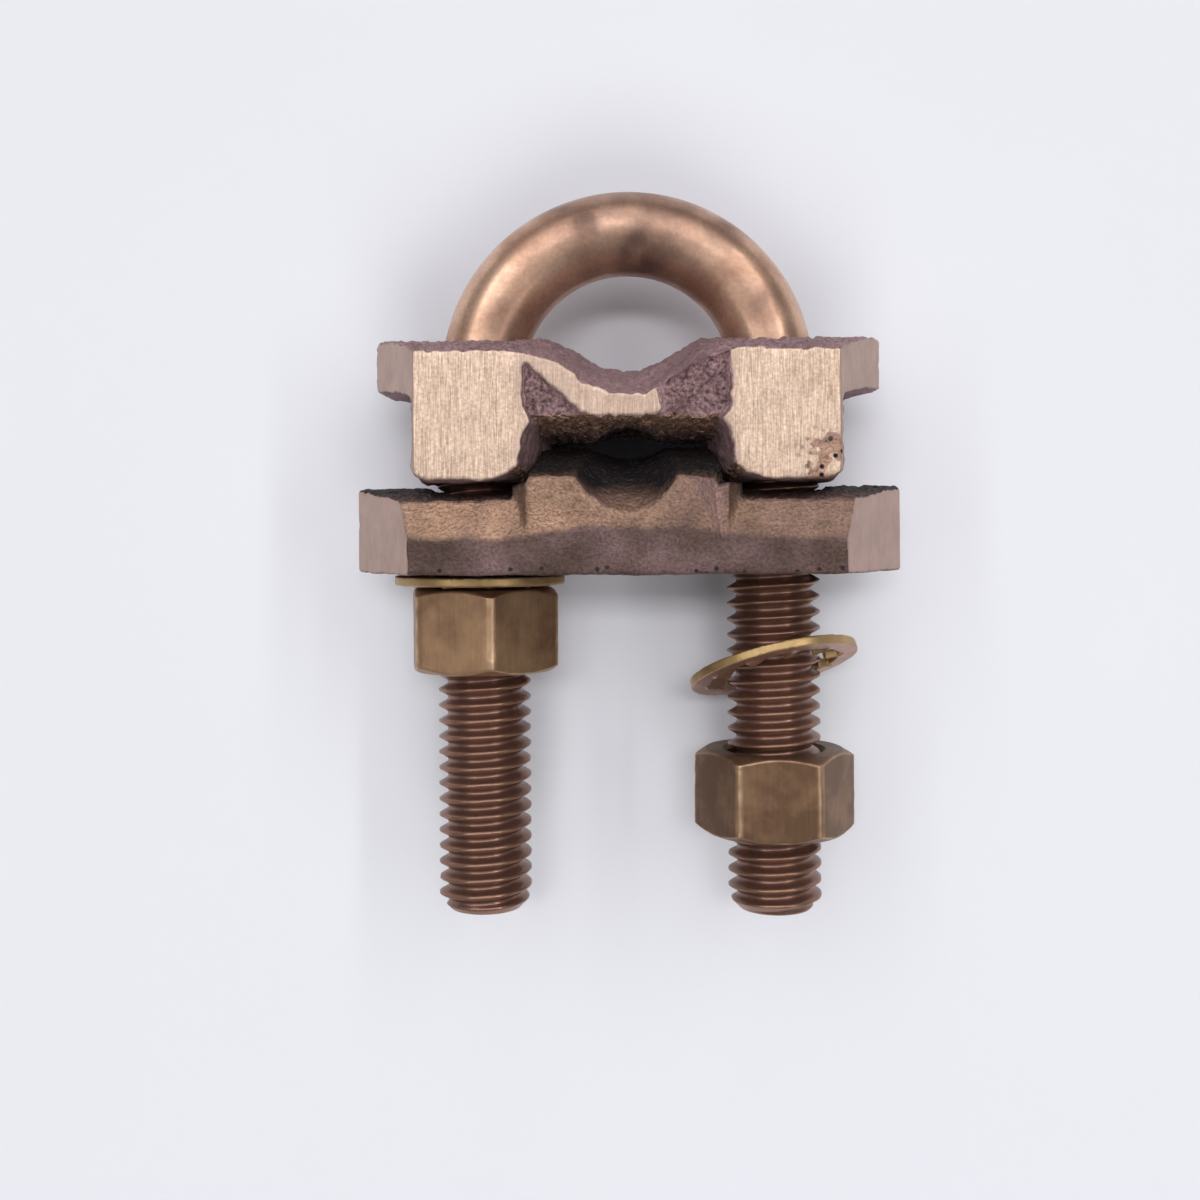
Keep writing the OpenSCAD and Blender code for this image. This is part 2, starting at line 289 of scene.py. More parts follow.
def relaxed(points, edges, turns):
    """Points smoothed along the edges without shrinking."""
    degree = np.bincount(edges.ravel(), minlength=len(points))[:, None]
    for factor in (PULL_IN, PUSH_OUT) * turns:
        total = np.stack([np.bincount(edges[:, 0], points[edges[:, 1], k], len(points))
                          + np.bincount(edges[:, 1], points[edges[:, 0], k], len(points))
                          for k in range(3)], axis=1)
        points = points + factor * (total / degree - points)
    return points


def outward(points, faces):
    """Unit normals at the points of a quad mesh."""
    corners = points[faces]
    across = np.cross(corners[:, 2] - corners[:, 0], corners[:, 3] - corners[:, 1])
    normals = np.stack([np.bincount(faces.ravel(), np.repeat(across[:, k], 4), len(points))
                        for k in range(3)], axis=1)
    return normals / np.maximum(np.linalg.norm(normals, axis=1, keepdims=True), 1e-12)


def voxel_copy(node, voxel):
    """Points in millimetres and quads of an even copy of a CAD node."""
    source = frame["nodes"][node].data.copy()
    source.transform(Matrix.Scale(1 / MM, 4))
    holder = bpy.data.objects.new("voxel_source", source)
    bpy.context.scene.collection.objects.link(holder)
    remesh = holder.modifiers.new("voxels", "REMESH")
    remesh.mode = "VOXEL"
    remesh.voxel_size = voxel
    made = bpy.data.meshes.new_from_object(
        holder.evaluated_get(bpy.context.evaluated_depsgraph_get()))
    points = np.empty(3 * len(made.vertices))
    made.vertices.foreach_get("co", points)
    corners = np.empty(len(made.loops), np.int32)
    made.loops.foreach_get("vertex_index", corners)
    if len(corners) != 4 * len(made.polygons) or len(corners) == 0:
        raise RuntimeError(f"the voxel copy of {node} isn't made of quads")
    bpy.data.objects.remove(holder)
    bpy.data.meshes.remove(source)
    bpy.data.meshes.remove(made)
    return points.reshape(-1, 3), corners.reshape(-1, 4)


def finished_piece(name, node, points, faces, material, **marks):
    """One piece of the visual model, from points in millimetres, in place of its CAD node."""
    mesh = bpy.data.meshes.new(name)
    mesh.from_pydata((points * MM).tolist(), [], faces.tolist())
    for mark, values in marks.items():
        mesh.attributes.new(mark, "FLOAT", "POINT").data.foreach_set("value", values)
    shell = bmesh.new()
    shell.from_mesh(mesh)
    bmesh.ops.remove_doubles(shell, verts=shell.verts, dist=WELD)
    bmesh.ops.recalc_face_normals(shell, faces=shell.faces)
    shell.to_mesh(mesh)
    shell.free()
    mesh.shade_smooth()
    mesh.materials.append(material)
    piece = bpy.data.objects.new(name, mesh)
    bpy.context.scene.collection.objects.link(piece)
    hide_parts(node)
    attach(piece, BODY_OF[node])
    return piece


def feed(tree, node, inputs):
    """Links a shader node's inputs to other nodes' outputs, or sets them."""
    for socket, value in inputs.items():
        if isinstance(value, bpy.types.NodeSocket):
            tree.links.new(value, node.inputs[socket])
        else:
            node.inputs[socket].default_value = value


def add_node(tree, kind, inputs=None, **settings):
    """A shader node with its settings, and its inputs set or linked."""
    made = tree.nodes.new(kind)
    for name, value in settings.items():
        setattr(made, name, value)
    feed(tree, made, inputs or {})
    return made


def per_metre(mm):
    """Texture scale that repeats about once in the given millimetres."""
    return 1.0 / (mm * MM)


def marked(tree, name):
    """The values of a vertex attribute."""
    return add_node(tree, "ShaderNodeAttribute", attribute_name=name).outputs["Fac"]


def grain(tree, place, mm, detail, roughness=0.5):
    """Noise with grains of the given size in millimetres."""
    return add_node(tree, "ShaderNodeTexNoise", {
        "Vector": place, "Scale": per_metre(mm), "Detail": detail,
        "Roughness": roughness}).outputs["Fac"]


def brushed(tree, place, across, along, detail, roughness=0.5):
    """Noise drawn out along Y, with lines of the given width and length in millimetres."""
    stretched = add_node(tree, "ShaderNodeMapping", {
        "Vector": place, "Scale": (per_metre(across), per_metre(along), per_metre(across))})
    return add_node(tree, "ShaderNodeTexNoise", {
        "Vector": stretched.outputs["Vector"], "Scale": 1.0, "Detail": detail,
        "Roughness": roughness}).outputs["Fac"]


def ranged(tree, value, low, high, to_low=0.0, to_high=1.0, **settings):
    """A value moved from one range to another, and held within it."""
    return add_node(tree, "ShaderNodeMapRange", {
        "Value": value, "From Min": low, "From Max": high, "To Min": to_low, "To Max": to_high},
        **settings).outputs["Result"]


def combined(tree, operation, first, second, **settings):
    """Two values put together by an operation."""
    return add_node(tree, "ShaderNodeMath", {0: first, 1: second}, operation=operation,
                    **settings).outputs[0]


def between(tree, share, first, second):
    """A value between two, by a share."""
    return add_node(tree, "ShaderNodeMix", {0: share, 2: first, 3: second},
                    data_type="FLOAT").outputs[0]


def opaque(tone):
    """A node's output as it is, and a colour property as a shader socket takes it."""
    return tone if isinstance(tone, bpy.types.NodeSocket) else (*tone, 1.0)


def mixed(tree, share, first, second):
    """A colour between two, by a share."""
    return add_node(tree, "ShaderNodeMix", {0: share, 6: opaque(first), 7: opaque(second)},
                    data_type="RGBA").outputs[2]


def shaded(tree, tone, factor):
    """A colour made darker or lighter by a factor."""
    return add_node(tree, "ShaderNodeMix", {0: 1.0, 6: opaque(tone), 7: factor},
                    data_type="RGBA", blend_type="MULTIPLY").outputs[2]


def dappled(tree, tone, texture, at_low, at_high):
    """A colour times a factor that follows a noise texture."""
    return shaded(tree, tone, ranged(tree, texture, *NOISE_SPAN, at_low, at_high))


def bump(tree, height, strength, mm):
    """Normals of a relief of the given height in millimetres."""
    return add_node(tree, "ShaderNodeBump", {
        "Strength": strength, "Distance": mm * MM, "Height": height}).outputs["Normal"]


def new_material(name):
    """An empty material: its node tree, its shader and the place on the piece."""
    material = bpy.data.materials.new(name)
    material.use_nodes = True
    tree = material.node_tree
    place = add_node(tree, "ShaderNodeTexCoord").outputs["Object"]
    return material, tree, tree.nodes["Principled BSDF"], place


def drawn_bronze_rod(colours):
    """Silicon bronze rod, drawn, bent hot and thread-rolled.

    Drawing leaves a satin skin with fine pits, the bending heat dark patches, and rolling burnishes the
    crests of the thread while its flanks keep a brown oxide.
    """
    material, tree, shader, place = new_material("drawn_bronze_rod")
    tint = marked(tree, "tint")
    handling = grain(tree, place, 6.0, 4.0, 0.6)
    # The pits of the drawn skin are about 0.1 mm wide; they are drawn at 0.4 mm so that they show
    specks = grain(tree, place, 0.4, 3.0, 0.7)
    rod = mixed(tree, ranged(tree, handling, 0.36, 0.66), colours.rod_light, colours.rod_dark)
    heated = mixed(tree, tint, rod, colours.rod_tint)
    rolled = mixed(tree, marked(tree, "crest"), colours.thread_root, colours.thread_crest)
    whole = mixed(tree, marked(tree, "thread"), heated, rolled)
    worn = combined(tree, "MAXIMUM", handling, tint)
    feed(tree, shader, {
        "Base Color": dappled(tree, whole, specks, 0.86, 1.08),
        "Metallic": 0.85,
        "Roughness": ranged(tree, worn, 0.3, 0.8, 0.26, 0.46),
        "Normal": bump(tree, specks, 0.35, 0.02)})
    return material


def sand_cast_bronze(colours):
    """Bronze cast in sand, then faced on a belt where it has to lie flat and ground at its corners.

    The sand leaves a dull skin that runs from purple through brown to golden: finely pebbled where the
    mould was firm, crumbly in the hollows. Facing cuts through it to pale metal with straight scratches,
    grinding leaves a dull pink, and low spots keep the dark skin. Painted light and shade lie on top: the
    grains are lighter on their tops and darker between them, the golden skin is partly painted light, and
    the gap under the saddle and the gas holes are painted near-black as painted shade.
    """
    material, tree, shader, place = new_material("sand_cast_bronze")
    gold, crumbly = marked(tree, "gold"), marked(tree, "crumbly")
    faced = ranged(tree, marked(tree, "faced"), -0.012, 0.02)
    # Pebbles of the firm mould are about 0.2 mm; they are drawn at 0.3 mm so that they show
    pebble = grain(tree, place, 0.3, 2.0, 0.6)
    crumb = grain(tree, place, 0.42, 3.0, 0.6)
    blotch = grain(tree, place, 3.0, 4.0, 0.6)
    # The belt's scratches are about 0.05 mm wide; they are drawn at 0.12 mm so that they show
    scratch = brushed(tree, place, 0.12, 2.2, 5.0, 0.7)
    # The browner skin is oxide in places and painted shade in the gap under the saddle and under the web; the
    # near-black after it is painted shade in that gap only
    skin = mixed(tree, marked(tree, "burnt"), colours.skin_purple, colours.skin_brown)
    gap_shaded = mixed(tree, marked(tree, "sooty"), skin, colours.painted_shade_black)
    golden = mixed(tree, gold, gap_shaded, colours.skin_gold)
    # Painted light and shade on the grains: the tone follows the noise of the relief, lighter on the tops of
    # pebbles and crumbs and darker between them, where highlights and shadow would fall
    fine = ranged(tree, pebble, *NOISE_SPAN, 0.66, 1.32)
    coarse = ranged(tree, crumb, 0.34, 0.66, 0.42, 2.1)
    sand_with_painted_grain_shade = shaded(tree, golden, between(tree, crumbly, fine, coarse))
    bare = mixed(tree, ranged(tree, scratch, 0.32, 0.68), colours.faced_light, colours.faced_dark)
    flecked = dappled(tree, bare, pebble, 0.8, 1.2)
    ground = dappled(tree, colours.ground_dull, scratch, 1.1, 0.86)
    metal = mixed(tree, marked(tree, "dull"), flecked, ground)
    tarnished = dappled(tree, mixed(tree, faced, sand_with_painted_grain_shade, metal), blotch, 0.86, 1.08)
    # Painted shade: gas holes are dark dots in the colour only, with no hollow in the mesh
    gas_hole = add_node(tree, "ShaderNodeTexVoronoi", {
        "Vector": place, "Scale": per_metre(1.1), "Randomness": 1.0}).outputs["Distance"]
    hole_shade = ranged(tree, gas_hole, 0.16, 0.26, 1.0, 0.0)
    pit_shade = combined(tree, "MULTIPLY", hole_shade, marked(tree, "pitted"))
    bright = combined(tree, "MAXIMUM", faced, gold)
    # Crumbs stand seven times as high as pebbles
    rise = between(tree, crumbly, pebble, combined(tree, "MULTIPLY", crumb, 7.0))
    relief = add_node(tree, "ShaderNodeMix", {
        0: faced, 4: bump(tree, rise, 0.9, 0.16), 5: bump(tree, scratch, 0.3, 0.03)},
        data_type="VECTOR").outputs[1]
    feed(tree, shader, {
        "Base Color": mixed(tree, pit_shade, tarnished, colours.painted_shade_black),
        "Metallic": ranged(tree, bright, 0.0, 1.0, 0.4, 0.85),
        "Roughness": ranged(tree, bright, 0.0, 1.0, 0.55, 0.48),
        "Normal": relief})
    return material


def drawn_bronze_bar(colours):
    """Bronze hexagon bar, drawn, sawn and chamfered into nuts.

    The flats are satin with lines along the bar and an olive-brown oxide, and handling has rubbed the
    edges bright.
    """
    material, tree, shader, place = new_material("drawn_bronze_bar")
    worn = marked(tree, "worn")
    blotch = grain(tree, place, 4.5, 4.0, 0.6)
    # The drawing lines are about 0.05 mm apart; they are drawn at 0.3 mm so that they show
    lines = brushed(tree, place, 0.3, 4.0, 3.0)
    browned = combined(tree, "ADD", ranged(tree, blotch, 0.35, 0.75), marked(tree, "brown"),
                       use_clamp=True)
    oxide = mixed(tree, browned, colours.nut_light, colours.nut_dark)
    streaked = dappled(tree, oxide, lines, 0.92, 1.06)
    feed(tree, shader, {
        "Base Color": mixed(tree, worn, streaked, colours.worn_edge),
        "Metallic": 0.85,
        "Roughness": ranged(tree, worn, 0.0, 1.0, 0.44, 0.3),
        "Normal": bump(tree, lines, 0.2, 0.02)})
    return material


def stamped_bronze_strip(colours):
    """Bronze strip, stamped into lock washers whose teeth are twisted in the same stroke.

    The faces keep the rolled strip's pinkish sheen, and shearing leaves a yellow, finely torn edge.
    """
    material, tree, shader, place = new_material("stamped_bronze_strip")
    blotch = grain(tree, place, 2.2, 3.0)
    specks = grain(tree, place, 0.35, 2.0)
    strip = mixed(tree, marked(tree, "sheared"), colours.washer_face, colours.washer_rim)
    feed(tree, shader, {
        "Base Color": dappled(tree, strip, blotch, 0.75, 1.1),
        "Metallic": 0.9,
        "Roughness": ranged(tree, specks, 0.0, 1.0, 0.3, 0.55),
        "Normal": bump(tree, specks, 0.3, 0.03)})
    return material


def painted_table(colours):
    """A painted table top: matt, pale and very slightly uneven in tone."""
    material, tree, shader, place = new_material("painted_table")
    even = ranged(tree, grain(tree, place, 40.0, 3.0), 0.0, 1.0, 0.975, 1.0)
    feed(tree, shader, {"Base Color": shaded(tree, colours.floor, even), "Roughness": 0.7})
    return material


def threaded_leg(sizes, axis_x, phase):
    """Points, quads and crest marks of one leg, from its chamfered end up into the saddle.

    The grid leans with the helix, so that each row follows one line of the thread: columns go round
    the leg, and the seam joins each row to the row one pitch further on.
    """
    pitch = sizes.thread_pitch / MM
    crest_r, root_r = sizes.thread_crest_d / MM / 2, sizes.thread_root_d / MM / 2
    end_y, start_y = BOLT_LOW[1], sizes.thread_start / MM
    tip_r = sizes.leg_tip_d / MM / 2
    # One pitch of the profile: a narrow crest, 60 degree flanks and a rounded root
    flank = (crest_r - root_r) * math.tan(math.radians(30)) / pitch
    root = 1.0 - CREST_SHARE - 2 * flank
    root_from, root_to = CREST_SHARE + flank, 1.0 - flank
    down = [CREST_SHARE + flank * k / 3 for k in (1, 2, 3)]
    low = [root_from + root * k / 4 for k in (1, 2, 3, 4)]
    up = [1.0 - flank * k / 3 for k in (2, 1)]
    stations = np.array([0.0, CREST_SHARE / 2, CREST_SHARE] + down + low + up)
    heights = np.interp(stations, [0.0, CREST_SHARE, root_from, root_to, 1.0],
                        [crest_r, crest_r, root_r, root_r, crest_r])
    in_root = (stations > root_from) & (stations < root_to)
    heights[in_root] -= ROOT_ROUND * np.sin(np.pi * (stations[in_root] - root_from) / root)
    marks = smooth_step(crest_r - 0.16, crest_r - 0.01, heights)
    turns = math.ceil((start_y - end_y) / pitch) + 3
    level = end_y + pitch * (np.add.outer(np.arange(turns), stations).ravel() + phase - 2.0)
    angle = round_angles(ROD_COLUMNS)
    y = level[:, None] + pitch * angle[None, :] / (2 * np.pi)
    r = np.tile(heights, turns)[:, None] + np.zeros_like(y)
    mark = np.tile(marks, turns)[:, None] + np.zeros_like(y)
    # Handling has nicked the crests and left them bright in places only
    places = ringed(axis_x, 0.0, r, y, angle).reshape(-1, 3)
    nicks = waviness(places, 1.1, seed=axis_x).reshape(r.shape)
    r -= NICK_DEPTH * mark * smooth_step(0.1, 0.6, nicks)
    mark *= 0.55 + 0.45 * smooth_step(-0.3, 0.3, -nicks)
    r = ROD_R + (r - ROD_R) * smooth_step(0.0, RUN_OUT, start_y - y)
    y = np.clip(y, end_y, start_y)
    # The end is chamfered at 45 degrees, and both cuts are fairly bright
    trimmed = tip_r + (y - end_y)
    mark = np.where(r > trimmed, 0.75, mark)
    r = np.minimum(r, trimmed)
    body = ringed(axis_x, MID_Z, r, y, angle)
    cap_y = end_y + np.array(TIP_SUNK)[:, None] + np.zeros(ROD_COLUMNS)
    cap = ringed(axis_x, MID_Z, tip_r * np.array(TIP_RINGS)[:, None], cap_y, angle)
    points = np.concatenate([body.reshape(-1, 3), cap.reshape(-1, 3)])
    faces = np.concatenate([wrapped_faces(len(level), ROD_COLUMNS, len(stations)),
                            wrapped_faces(len(TIP_RINGS), ROD_COLUMNS) + mark.size])
    return points, faces, np.concatenate([mark.ravel(), np.full(cap_y.size, 0.7)])


def bent_rod(sizes):
    """Points and quads of the plain rod, from the left thread's start round the bend to the right's."""
    rise = np.linspace(sizes.thread_start / MM, BEND_Y, 14)
    turn = np.linspace(math.pi, 0.0, 91)
    path = [((-BEND_R, y), (-1.0, 0.0)) for y in rise[:-1]]
    path += [((BEND_R * math.cos(a), BEND_Y + BEND_R * math.sin(a)), (math.cos(a), math.sin(a)))
             for a in turn]
    path += [((BEND_R, y), (1.0, 0.0)) for y in rise[-2::-1]]
    angle = round_angles(ROD_COLUMNS)
    side, height = -ROD_R * np.sin(angle), MID_Z + ROD_R * np.cos(angle)
    rows = [np.stack([x + side * out_x, y + side * out_y, height], axis=-1)
            for (x, y), (out_x, out_y) in path]
    return np.concatenate(rows), wrapped_faces(len(rows), ROD_COLUMNS)


def heat_tint(points):
    """Share of dark oxide on the rod: stains over the bend, most of it near the apex and the right."""
    cover = np.zeros(len(points))
    for centre, reach, share in HEAT_STAINS:
        away = np.linalg.norm(points - np.array(centre), axis=1)
        cover = np.maximum(cover, share * smooth_step(reach, 0.2 * reach, away))
    return np.clip(cover * (0.9 + 0.6 * waviness(points, 2.6, seed=4.0, octaves=3)), 0.0, 1.0)


class MakeUBolt(bpy.types.Operator):
    """Rolls the thread on the legs and bends the rod"""

    bl_idname = "connector.u_bolt"
    bl_label = "U-bolt"

    def execute(self, context):
        sizes = context.scene.connector_sizes
        bend, bend_faces = bent_rod(sizes)
        # Bending leaves the rod uneven by a few hundredths of a millimetre
        bend += 0.03 * outward(bend, bend_faces) * waviness(bend, 5.0, seed=2.0)[:, None]
        left, left_faces, left_crest = threaded_leg(sizes, LEFT_AXIS[0], LEFT_PHASE)
        right, right_faces, right_crest = threaded_leg(sizes, RIGHT_AXIS[0], RIGHT_PHASE)
        points = np.concatenate([bend, left, right])
        faces = np.concatenate([bend_faces, left_faces + len(bend),
                                right_faces + len(bend) + len(left)])
        plain, threaded = np.zeros(len(bend)), np.ones(len(left) + len(right))
        finished_piece(
            "u_bolt_threaded", "u_bolt", points, faces,
            drawn_bronze_rod(context.scene.connector_colours),
            crest=np.concatenate([plain, left_crest, right_crest]),
            thread=np.concatenate([plain, threaded]),
            tint=np.concatenate([heat_tint(bend), np.zeros_like(threaded)]))
        return {"FINISHED"}


def cast_bronze(context):
    """The castings' material, made once."""
    made = bpy.data.materials.get("sand_cast_bronze")
    return made or sand_cast_bronze(context.scene.connector_colours)


def cast_skin(sizes, node, seed):
    """Points, quads and smooth normals of an even copy of a casting, its swells and its sand relief."""
    points, faces = voxel_copy(node, sizes.cast_mesh / MM)
    points = relaxed(points, quad_edges(faces), 2)
    normals = outward(points, faces)
    swell = waviness(points, sizes.swell_size / MM, seed, octaves=2)
    sand = waviness(points, sizes.sand_size / MM, seed + 9.0, octaves=2)
    return points, faces, normals, sizes.swell_height / MM * swell, sizes.sand_height / MM * sand


def faced_off(points, normals, on_plane, facing, allowance):
    """Points trimmed to a plane, and the depth of the cut, which is negative where skin is left.

    The skin beside the plane first stands proud of it by the allowance, as a casting does.
    """
    out = (points - on_plane) @ facing
    turned = smooth_step(0.4, 0.9, normals @ facing) * smooth_step(-1.3, -0.6, out)
    proud = out + allowance * turned
    trimmed = points + (np.minimum(proud, 0.0) - out)[:, None] * facing
    return trimmed, np.where(turned > 0.05, proud, UNCUT)


def ground_corners(points, normals, face_x, tip_x, tip_half, allowance):
    """Grinds the four sloping corners of a casting in place, and gives each one's cut depth.

    Each slope runs from face_x at the front or back face to tip_x, close to mid-depth.
    """
    run = HALF_DEPTH - tip_half
    slope = np.array([run, 0.0, tip_x - face_x]) / math.hypot(run, tip_x - face_x)
    for side in (-1, 1):
        for way in (-1, 1):
            plane = np.array([side * face_x, 0.0, MID_Z + way * HALF_DEPTH])
            points[:], depth = faced_off(points, normals, plane, slope * np.array([side, 1, way]),
                                         allowance)
            yield depth


class CastSaddle(bpy.types.Operator):
    """Casts the saddle, faces its bosses and lips and grinds its ears"""

    bl_idname = "connector.saddle"
    bl_label = "Saddle"

    def execute(self, context):
        sizes = context.scene.connector_sizes
        points, faces, normals, swell, sand = cast_skin(sizes, "saddle", seed=3.0)
        # Where each point lies on the plain solid, in millimetres
        x, y, z = points.T.copy()
        beside, off_mid = np.abs(x), np.abs(z - MID_Z)
        behind = HALF_DEPTH - off_mid
        in_front = z > MID_Z
        boss_edge = RIGHT_AXIS[0] - BOSS_HALF
        # Shares from 0 to 1 that mark the web's underside, the hollows beside the lip, its right half,
        # the top, and the skin that crumbled
        between_bosses = smooth_step(boss_edge + 1.2, boss_edge + 0.2, beside)
        fronting = smooth_step(0.4, 0.8, np.abs(normals[:, 2]))
        under = (smooth_step(WEB_LOW + 0.8, WEB_LOW, y) * between_bosses
                 * smooth_step(0.2, 0.6, -normals[:, 1]))
        hollow = (smooth_step(0.3, 0.55, behind) * smooth_step(2.5, 1.5, behind)
                  * between_bosses * fronting)
        right_lip = smooth_step(2.5, 4.5, x) * smooth_step(boss_edge + 0.3, boss_edge - 0.3, x)
        top = smooth_step(0.35, 0.8, normals[:, 1])
        top_edge = 0.55 * top * smooth_step(7.5, 9.5, beside)
        crumbly = np.clip(under + hollow + top_edge + right_lip * fronting * in_front, 0.0, 1.0)
        # Its right lip never filled: the strip lies almost as deep as the hollow beside it
        strip = right_lip * fronting * smooth_step(0.45, 0.15, behind) * in_front
        points[:, 2] -= LIP_DROP * strip
        coarse = 0.9 + 1.1 * crumbly + 0.9 * under + 0.7 * top
        points = points + normals * (swell + sand * coarse)[:, None]
        stray = [EDGE_STRAY * between_bosses * waviness(points, 0.9, seed=s) for s in (21.0, 22.0)]
        points[:, :2] += np.stack(stray, axis=1)
        # The inner sides of the bosses swell where the web joins them and draw in below it
        inner = (smooth_step(13.2, 10.2, beside) * smooth_step(7.2, 8.4, beside)
                 * smooth_step(5.0, 10.5, off_mid))
        drawn = 0.5 * smooth_step(11.2, 7.2, y) - 0.85 * np.exp(-((y - WEB_LOW + 0.2) / 0.75) ** 2)
        points[:, 0] += np.sign(x) * drawn * inner
        points[:, 1] += 0.6 * inner * smooth_step(9.0, 6.8, y)
        # The belt missed the right half of the front lip and a low corner of the right boss
        low_corner = (smooth_step(14.6, 18.2, x) * smooth_step(12.4, 9.4, y)
                      * smooth_step(2.4, 0.8, FRONT_Z - z))
        ragged = sizes.facing_cut / MM + 0.07 * waviness(points, 1.1, seed=12.0, octaves=2)
        front = ragged - 0.7 * right_lip - 0.3 * low_corner
        faced, dull = np.full(len(points), UNCUT), 0.45 * between_bosses
        for face_z, way, allowance in ((FRONT_Z, 1, front), (BACK_Z, -1, ragged)):
            points, depth = faced_off(points, normals, np.array([0, 0, face_z]),
                                      np.array([0, 0, way]), allowance)
            faced = np.maximum(faced, depth)
        # The sloping fronts and backs of the ears are ground
        for depth in ground_corners(points, normals, RIGHT_AXIS[0] + BOSS_HALF, SADDLE_HIGH[0],
                                    EAR_TIP_HALF, ragged):
            dull = np.where(depth > faced, 1.0, dull)
            faced = np.maximum(faced, depth)
        patch = waviness(points, 5.0, seed=6.0, octaves=2)
        # The web's underside is a little browner, as painted shade, and golden on its front part, as painted light
        # where the lamps hardly reach
        burnt = np.clip(0.1 + 0.25 * patch + 0.15 * under + 0.12 * crumbly, 0.0, 1.0)
        gold = np.clip(0.85 * under * smooth_step(11.0, 6.0, behind) + 0.85 * low_corner, 0.0, 1.0)
        points[:, 2] = np.clip(points[:, 2], BACK_Z, FRONT_Z)
        finished_piece("saddle_cast", "saddle", points, faces, cast_bronze(context),
                       faced=faced, dull=dull, gold=gold, burnt=burnt, crumbly=crumbly,
                       pitted=low_corner, sooty=np.zeros(len(points)))
        return {"FINISHED"}


class CastClampPlate(bpy.types.Operator):
    """Casts the clamp plate and grinds its ends"""

    bl_idname = "connector.clamp_plate"
    bl_label = "Clamp plate"

    def execute(self, context):
        sizes = context.scene.connector_sizes
        points, faces, normals, swell, sand = cast_skin(sizes, "clamp_plate", seed=5.0)
        # Where each point lies on the plain solid, in millimetres
        x, y, z = points.T.copy()
        fronting = np.abs(normals[:, 2])
        crumbly = 0.75 * smooth_step(0.75, 0.35, fronting) * smooth_step(0.3, 0.6, normals[:, 1])
        points = points + normals * (0.7 * swell + sand * (0.35 + 1.5 * crumbly))[:, None]
        ragged = sizes.facing_cut / MM + 0.09 * waviness(points, 1.3, seed=13.0, octaves=2)
        faced = np.full(len(points), UNCUT)
        for depth in ground_corners(points, normals, END_FACET_X, PLATE_HIGH[0], END_TIP_HALF, ragged):
            faced = np.maximum(faced, depth)
        # The right front corner of the block is ground away to a slanting facet
        corner = (x > 5.0) & (x < 9.4) & (y > 1.0) & (points[:, 2] > MID_Z + 6.0)
        ground = np.zeros(len(points))
        points[corner], depth = faced_off(points[corner], normals[corner], BLOCK_FACET_AT,
                                          BLOCK_FACET_OUT, 0.0)
        ground[corner] = smooth_step(-0.05, 0.1, depth) * smooth_step(1.0, 3.0, y[corner])
        # The bevel and the block's face lost their sand clean, down to an uneven line. The golden tone is
        # partly painted light: it is kept to faces turned up towards the lamps
        block = np.exp(-(np.abs(x - 0.5) / 9.0) ** 4)
        line = CLEAN_LINE + CLEAN_RISE * block
        wander = waviness(points, 2.5, seed=8.0, octaves=2)
        gold = smooth_step(line - 0.5, line + 0.3, y + 0.25 * wander) * smooth_step(0.5, 0.75, fronting)
        gold *= 0.9 - 0.4 * smooth_step(-4.0, 12.0, x) - 0.25 * block + 0.25 * wander
        gold *= 1.0 - 0.3 * ground
        # Painted shade: the skin in the shadowed gap under the saddle is made browner and then near-black.
        # Gas holes are marked along the lower edge, where the material paints them as dark dots.
        shade_in_gap = smooth_step(5.0, 6.2, y) * smooth_step(0.75, 0.5, fronting)
        patch = waviness(points, 5.0, seed=7.0, octaves=2)
        burnt = np.clip(0.86 + 0.3 * patch + shade_in_gap - 0.45 * ground, 0.0, 1.0)
        sooty = shade_in_gap * smooth_step(0.2, 1.6, HALF_DEPTH - np.abs(z - MID_Z))
        pitted = (smooth_step(PLATE_LOW[1] + 1.1, PLATE_LOW[1] + 0.7, y)
                  * smooth_step(0.6, 0.9, fronting))
        points[:, 0] = np.clip(points[:, 0], PLATE_LOW[0] - END_PROUD, PLATE_HIGH[0] + END_PROUD)
        points[:, 2] = np.clip(points[:, 2], BACK_Z, FRONT_Z + FRONT_PROUD)
        finished_piece("clamp_plate_cast", "clamp_plate", points, faces, cast_bronze(context),
                       faced=faced, dull=np.ones(len(points)), gold=np.clip(gold, 0.0, 1.0),
                       burnt=burnt, crumbly=crumbly, pitted=pitted, sooty=sooty)
        return {"FINISHED"}


class StampLockWashers(bpy.types.Operator):
    """Stamps both lock washers"""

    bl_idname = "connector.lock_washers"
    bl_label = "Lock washers"

    def execute(self, context):
        material = stamped_bronze_strip(context.scene.connector_colours)
        voxel = context.scene.connector_sizes.washer_mesh / MM
        for node in ("left_lock_washer", "right_lock_washer"):
            points, faces = voxel_copy(node, voxel)
            points = relaxed(points, quad_edges(faces), 4)
            normals = outward(points, faces)
            # The washer's axis is the direction in which it is thinnest
            axis = np.linalg.svd(points - points.mean(axis=0), full_matrices=False)[2][2]
            across = np.linalg.norm(normals - (normals @ axis)[:, None] * axis, axis=1)
            sheared = smooth_step(0.5, 0.85, across)
            points = points + normals * 0.03 * waviness(points, 1.5, seed=11.0)[:, None]
            finished_piece(node + "_stamped", node, points, faces, material, sheared=sheared)
        return {"FINISHED"}


def nut_form(node, axis):
    """Width across flats of a CAD nut and the direction of a flat, from its furthest corner."""
    corners = np.array([v.co for v in frame["nodes"][node].data.vertices]) / MM
    offset = corners[:, [0, 2]] - axis[[0, 2]]
    reach = np.linalg.norm(offset, axis=1)
    furthest = offset[np.argmax(reach)]
    half_corner = math.radians(30)
    return (2 * math.cos(half_corner) * reach.max(),
            math.atan2(furthest[0], furthest[1]) + half_corner)


